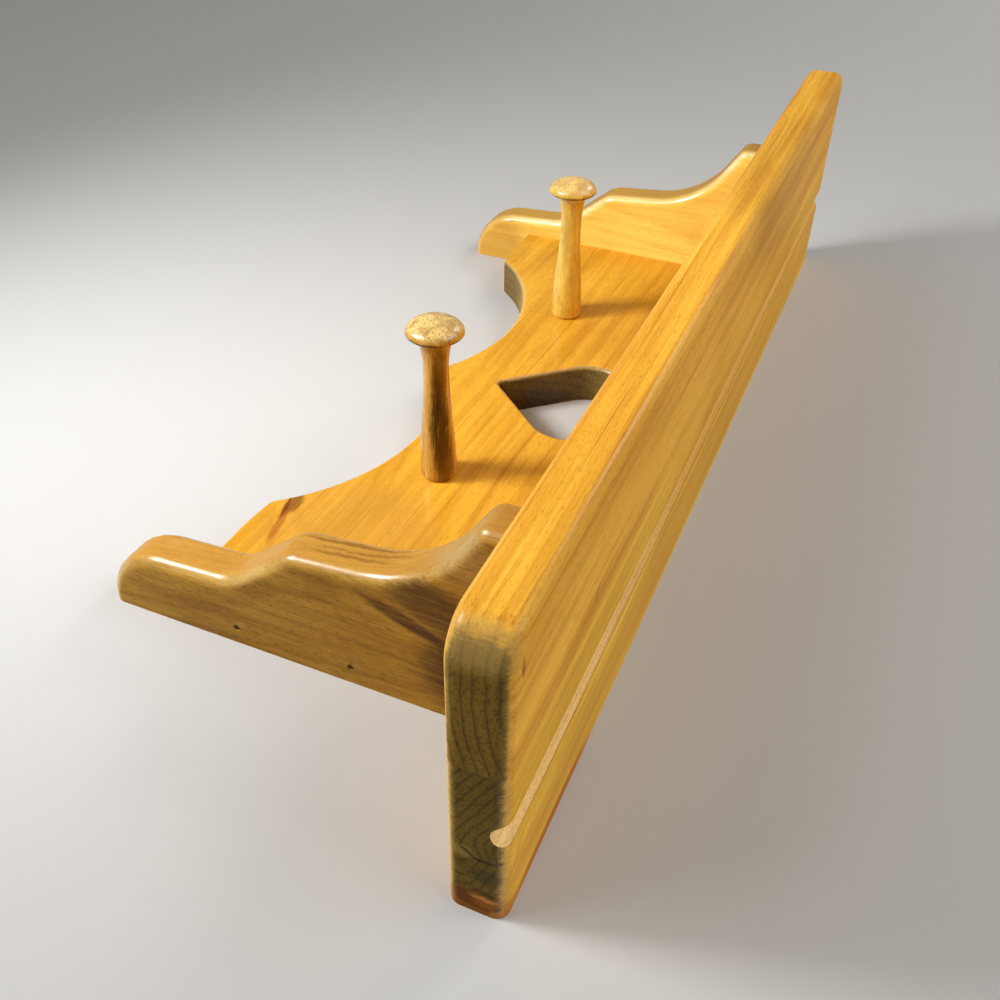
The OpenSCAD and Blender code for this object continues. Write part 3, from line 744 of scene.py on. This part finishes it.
# Hardwood of a middling grain, planed, stained golden and varnished: quiet streaks along the board, a knot by
# the right-hand arch, walls in the arches that the stain has darkened, painted shade on the walls of the
# heart, and a pale tint on the rounded edges that is partly wear and partly painted sheen
board_wood = wood(
    "varnished_golden_board", "X", "Z", pith=(-30, -95), ring=5.5, slope=(0, 1.5), seed=3.0,
    # The last tone, pale, is partly wear and partly painted sheen on the rounded edges of the heart and
    # arches
    tones=("#E8AE34", "#D09422", "#B87612", "#8E5410", "#7A6228", "#3E2E10", "#CDB078"),
    ring_depth=0.6, band_depth=0.36, line_depth=0.65, pore_depth=0.4, gloss=1.0, dull=0.5, lacquer=0.2,
    ends=(0.25, 0.65), fringe=0.2, end_depth=0.3, wear_and_sheen=0.9,
    knots=[((92, -118, 19), (90, 24, 30), (0, 0, 10), 1.7)],
    marks=[
        # A duller corner, and a small knot at the arch with its reddish tail and core
        ((128, -98, 19), (50, 52, 20), (0, 0, 0), "#BC8836", 0.55),
        ((134, -125.8, 19), (16, 2.4, 5), (0, 0, 11), "#A0541A", 0.75),
        ((120, -127.4, 19), (11, 4.2, 8), (0, 0, 6), "#80501E", 0.9),
        ((124, -128.8, 19), (10, 1.3, 5), (0, 0, 8), "#6E2C06", 0.9),
        # Painted shade on the heart's walls and on its point, where little light reaches
        ((0, -52, 3), (38, 48, 19), (0, 0, 0), "#160A02", 0.92),
        ((0, -87, 15), (3, 3, 7), (0, 0, 0), "#5A3A14", 0.7),
    ],
)
# The same hardwood, edge-glued: fine streaks along the front, and an end of olive brown rings that run across
# its thickness
front_wood = wood(
    "varnished_front_strip", "X", "Y", pith=(317, 110), ring=3.2, seed=7.0,
    tones=("#FABC42", "#E09C2A", "#BC6E0E", "#7E4A0C", "#866716", "#3C2C08", "#F8CA70"),
    ring_depth=0.4, end_depth=0.65, band_depth=0.4, line_depth=0.6, pore_depth=0.35, pores=(3.5, 0.3),
    wander=0.4, wear_and_sheen=0.25, gloss=0.32, dull=0.75, lacquer=0.26, ends=(0.55, 0.82), fringe=0.35,
    marks=[
        # Two short dark flecks on the top, painted shade over the far half where the light falls off, and
        # painted sheen on the corner at the right-hand end
        ((234.5, 19, 102), (1.6, 2, 5), (0, 0, 0), "#8A4A10", 0.7),
        ((175.5, 19, 75.5), (4, 2, 1), (0, 45, 0), "#5A3008", 0.7),
        ((-75, 15, 112), (95, 30, 60), (0, 0, 0), "#8A5A22", 0.25),
        ((240, 9.5, 113), (9, 22, 15), (0, 0, 0), "#B8985C", 0.45),
    ],
)
# The same hardwood, with closer rings that lie aslant: dark lines along the top, and at the right-hand end a
# check that follows the rings, a dark patch, and a band of orange sapwood along the wall
back_wood = wood(
    "varnished_back_strip", "X", "Y", pith=(307.5, -67), ring=2.9, seed=11.0,
    tones=("#FFCA48", "#E8A228", "#B8740E", "#84500F", "#745A12", "#32240A", "#F0BC60"),
    ring_depth=0.55, end_depth=0.55, band_depth=0.4, line_depth=0.75, pore_depth=0.3, wander=0.4,
    gloss=0.7, dull=0.3, lacquer=0.28, ends=(0.6, 0.95), fringe=0.5,
    knots=[((242, 12, 21), (22, 12, 16), (0, 0, 0), 1.6)],
    marks=[
        # Along the top: a duller strip at the wall, a browner one by the seam, and a painted shadow line
        # along the groove's edge
        ((0, 19, 16), (420, 7, 22), (0, 0, 0), "#D69C3C", 0.65),
        ((0, 19, 55), (460, 5, 14), (0, 0, 0), "#C88A2C", 0.3),
        ((0, 19, 35.7), (460, 1.6, 1.3), (0, 0, 0), "#7A4A12", 0.5),
        # The orange band at the wall, on the end and along the top
        ((242, 10, 0), (14, 24, 15), (0, 0, 0), "#A4560E", 0.65),
        ((205, 19, 1), (52, 6, 7), (0, 0, 0), "#B4520C", 0.8),
        # On the end: a dark green patch and a pale knot
        ((242, 13, 20), (3, 7, 5.5), (0, 0, 0), "#2E3216", 0.6),
        ((242, 5.5, 29.5), (3, 4.5, 4), (0, 0, 0), "#A0823A", 0.6),
        # The check below the groove
        ((242, 7.1, 29.9), (2, 4, 0.8), (-36, 0, 0), "#2E1402", 0.9),
        ((242, 11.5, 27.6), (2, 3.4, 0.9), (-13, 0, 0), "#2E1402", 0.95),
        ((242, 16, 28), (2, 3.8, 0.8), (20, 0, 0), "#4A2204", 0.9),
        # Dark and light lines within the orange band
        ((242, 12.6, 11.4), (2, 7, 1.6), (-8, 0, 0), "#3A1C04", 0.6),
        ((242, 10.5, 3.4), (2, 8, 1.5), (-8, 0, 0), "#4A2204", 0.5),
        ((242, 5, 7), (2, 6, 5), (-36, 0, 0), "#4A2006", 0.6),
        ((242, 12.5, 8.4), (2, 7, 1.4), (-5, 0, 0), "#D8923A", 0.7),
        ((242, 17, 5.5), (2, 5, 1.4), (44, 0, 0), "#4A2204", 0.5),
        ((242, 16.5, 2), (3, 4, 3), (0, 0, 0), "#D08A2A", 0.6),
    ],
)
# A paler board of the same hardwood, with a broad gloss along its rounded edges, widened by a near-white
# painted highlight in its edge tint
left_wood = wood(
    "varnished_left_bracket", "Y", "X", pith=(240, 60), ring=4.5, slope=(0, 2), seed=19.0,
    # The last tone, near white, paints a highlight along the rounded edges
    tones=("#FFDA68", "#F2BE4C", "#DCA434", "#A8701C", "#DCAC50", "#B07E34", "#FFF0C0"),
    ring_depth=0.5, end_depth=0.25, band_depth=0.3, pore_depth=0.25, edge=("#A8742A", 0.75), gloss=1.0,
    dull=0.5, lacquer=0.2, ends=(0.35, 1.0), fringe=0.3, wear_and_sheen=0.95,
    # A browner nose
    marks=[((-161, -160, 10), (6, 26, 30), (0, 0, 0), "#C08026", 0.6)],
)
# A darker board of the same hardwood: olive brown, with a dark reddish streak that runs to the shelf and
# painted shadow beside it and by the shelf, dark lines over the shoulder of the scroll, a painted highlight
# on the nose, a pale tint on the rounded edges that is partly wear and partly painted sheen, and pale filler
# smeared round the two nail holes
right_wood = wood(
    "varnished_right_bracket", "Y", "X", pith=(-80, 35), ring=3.6, slope=(0, -3), seed=23.0,
    # The last tone, pale, is partly wear and partly painted sheen on the rounded edges
    tones=("#B08226", "#8A5E14", "#764A0C", "#3E2404", "#8E7438", "#46300E", "#D8B468"),
    ring_depth=0.55, end_depth=0.5, band_depth=0.45, line_depth=0.5, pore_depth=0.65, wear_and_sheen=0.6,
    edge=("#CC9444", 0.5), gloss=1.0, dull=0.35, lacquer=0.26, ends=(0.35, 1.0), fringe=0.3,
    marks=[
        # The dark reddish streak that widens towards the shelf, partly a stain and partly painted shadow: the
        # face between it and the rounded edge above, and the corner by the shelf, are darkened as painted
        # shadow
        ((181, -30, 50), (5, 38, 15), (-20, 0, 0), "#432404", 0.75),
        ((181, -44, 40.5), (6, 26, 4.5), (-20, 0, 0), "#421A02", 0.85),
        ((181, -16, 28), (6, 24, 9), (-24, 0, 0), "#4E2206", 0.7),
        ((181, -12, 20), (6, 42, 34), (-24, 0, 0), "#3A1E02", 0.85),
        # A greyer cove, a painted highlight on the nose, and three lines over the shoulder
        ((171, -20, 74), (14, 26, 20), (0, 0, 0), "#A8905C", 0.4),
        ((169, -150, 38), (12, 30, 12), (0, 0, 0), "#FFE6B8", 0.65),
        ((166, -72, 56), (1.3, 34, 9), (0, 0, 2), "#4E2C0C", 0.55),
        ((169, -64, 56), (1, 30, 9), (0, 0, 3), "#5A340E", 0.45),
        ((172, -70, 56), (1.4, 26, 9), (0, 0, 1), "#5A340E", 0.45),
        # Filler round the nail holes
        ((180.5, -113.4, 8.8), (2, 3.2, 2.4), (0, 0, 0), "#A8986C", 0.25),
        ((180.5, -65.4, 9), (2, 2.6, 2.2), (0, 0, 0), "#A08850", 0.3),
    ],
)
# Hardwood turned on a lathe, stained and dipped in thick varnish, which wrinkles a little and shines. The
# heads show mottled end grain. A painted shadow lies under each head, with a painted lit band on the neck
# below it
TURNED = dict(
    ring_depth=0.3, end_depth=0.2, band_depth=0.45, pore_depth=0.4, pores=(3, 0.35), patches=(9, 5),
    mottle=0.6, wander=0.5, roughness=0.34, gloss=1.0, lacquer=0.18, ends=(0.3, 0.8), fringe=0.3, relief=0.2,
    peel=0.25,
)
left_peg_wood = wood(
    "turned_left_peg", "Z", "", pith=(60, -20), ring=2.6, slope=(0, 3), seed=29.0,
    tones=("#E6BE52", "#C89E3C", "#A07828", "#6A4610", "#F4D080", "#B0803A", "#E8B868"), **TURNED,
    # A painted shadow under the head, and a painted lit band on the neck below it
    marks=[((-77, -82, 86.2), (40, 40, 1.6), (0, 0, 0), "#4A300C", 0.85),
           ((-77, -82, 83.6), (40, 40, 1.6), (0, 0, 0), "#E8CC84", 0.6)],
)
right_peg_wood = wood(
    "turned_right_peg", "Z", "", pith=(50, 30), ring=2.8, slope=(0, -2), seed=37.0,
    tones=("#CE9E44", "#A87826", "#845010", "#4A2A08", "#EACC80", "#8E6426", "#D8A858"), **TURNED,
    marks=[
        # A painted shadow under the head, and a painted lit band on the neck below it
        ((77, -82, 86.2), (40, 40, 1.6), (0, 0, 0), "#2E1C06", 0.9),
        ((77, -82, 83.6), (40, 40, 1.6), (0, 0, 0), "#D0AC60", 0.6),
        # A dark stripe down the side that faces the right-hand end
        ((83, -77.5, 50), (6.5, 7, 34), (0, 0, 0), "#2A1202", 0.95),
        ((83, -77, 72), (7, 6.5, 20), (0, 0, 0), "#5A3208", 0.8),
        ((83, -76, 30), (7, 6.5, 20), (0, 0, 0), "#54300A", 0.75),
    ],
)
groove_wood = raw_groove("sanded_plate_groove")
# Beech dowels, milled and left bare: pale, plain and dull
dowel_wood = wood(
    "plain_beech_dowel", "Y", "", pith=(30, 10), ring=1.8, seed=31.0,
    tones=("#DDB684", "#C79A66", "#C08E5C", "#9A6A3C", "#CFA674", "#A87C4E", "#DDB684"),
    gloss=0.0, roughness=0.6,
)
# Bright drawn wire, dulled in its hole: dark grey with a breath of rust
nail_steel = steel("dulled_wire_nail", "#7D7469", "#4C443C", "#4A2E1C", 0.4)
# Stamped steel sheet, zinc plated: pale, slightly yellow grey, brushed along the shelf
plate_steel = steel("zinc_plated_hanger", "#D9D4C2", "#B9B4A4", "#8C7A58", 0.28, brushed=(6.0, 0.3))
# Cold-headed steel screws, zinc plated: pale grey and a little shinier
screw_steel = steel("zinc_plated_screw", "#DCD6C0", "#ADA692", "#8C7A58", 0.25)

front_stave([front_wood])
back_stave([back_wood, groove_wood])
bracket("left_scroll_bracket", "left_bracket", -1, left_wood)
bracket("right_scroll_bracket", "right_bracket", 1, right_wood)
back_board(board_wood)
peg("left_turned_peg", "left_peg", -1, left_peg_wood)
peg("right_turned_peg", "right_peg", 1, right_peg_wood)

dress(["left_back_dowel", "left_front_dowel", "right_back_dowel", "right_front_dowel",
       "left_board_dowel", "middle_board_dowel", "right_board_dowel"], dowel_wood)
dress(["left_upper_nail", "left_lower_nail", "right_upper_nail", "right_lower_nail"], nail_steel)
dress(["left_hanger_plate", "right_hanger_plate"], plate_steel)
dress(["left_hanger_upper_screw", "left_hanger_lower_screw",
       "right_hanger_upper_screw", "right_hanger_lower_screw"], screw_steel)
